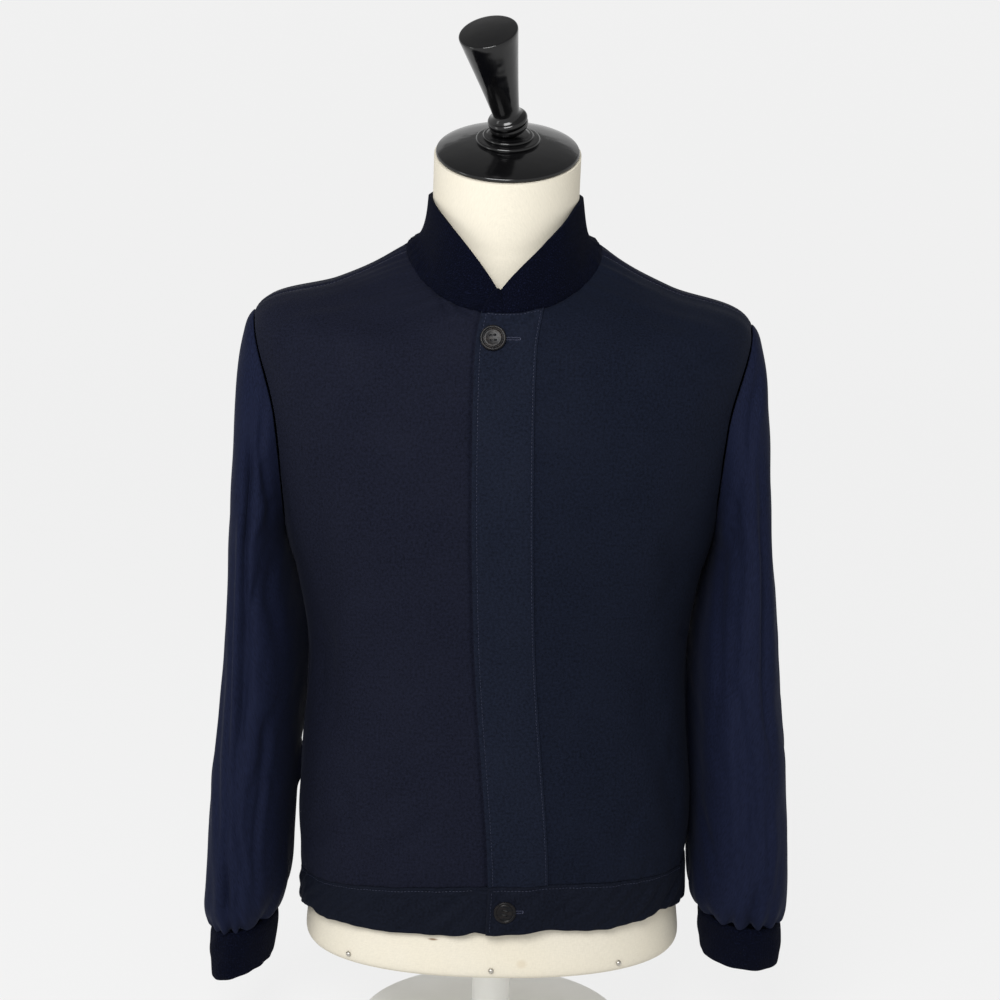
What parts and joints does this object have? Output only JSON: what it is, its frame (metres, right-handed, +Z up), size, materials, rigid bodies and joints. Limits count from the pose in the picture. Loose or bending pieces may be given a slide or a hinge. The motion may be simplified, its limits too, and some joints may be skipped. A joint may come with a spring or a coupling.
{
  "type": "bomber jacket on dress form",
  "caption": "Navy bomber jacket with rib-knit collar and cuffs, buttoned over a limbless linen dress form with a black lacquered neck cap and finial.",
  "frame": {"origin": "middle of the round foot's underside, where the stand rests on the floor, straight below the middle of the dress form", "axes": "+Z up, the front of the jacket faces -Y, the wearer's left side is at +X"},
  "size_m": [0.5316, 0.2634, 0.9361],
  "materials": {
    "body_cloth": "fine dark navy jacket cloth with a soft nap and a slight sheen",
    "rib_knit": "matt near-black navy rib knit",
    "horn_button": "polished dark horn-look resin",
    "linen": "cream linen, stretched smooth",
    "black_lacquer": "turned wood in gloss black lacquer",
    "tack_steel": "dull nickel-plated steel",
    "white_coat": "satin white powder coat on steel"
  },
  "bodies": {
    "root": {"front_right": "body_cloth", "front_left": "body_cloth", "placket_left": "body_cloth", "back": "body_cloth", "sleeve_right": "body_cloth", "sleeve_left": "body_cloth", "waistband": "body_cloth", "collar_rib": "rib_knit", "cuff_right": "rib_knit", "cuff_left": "rib_knit", "button_neck": "horn_button", "button_waistband": "horn_button", "form_torso": "linen", "neck_cap": "black_lacquer", "finial": "black_lacquer", "tack_1": "tack_steel", "tack_2": "tack_steel", "tack_3": "tack_steel", "tack_4": "tack_steel", "tack_5": "tack_steel", "tack_6": "tack_steel", "tack_7": "tack_steel", "tack_8": "tack_steel", "stand_column": "white_coat", "stand_foot": "white_coat"}
  },
  "joints": []
}
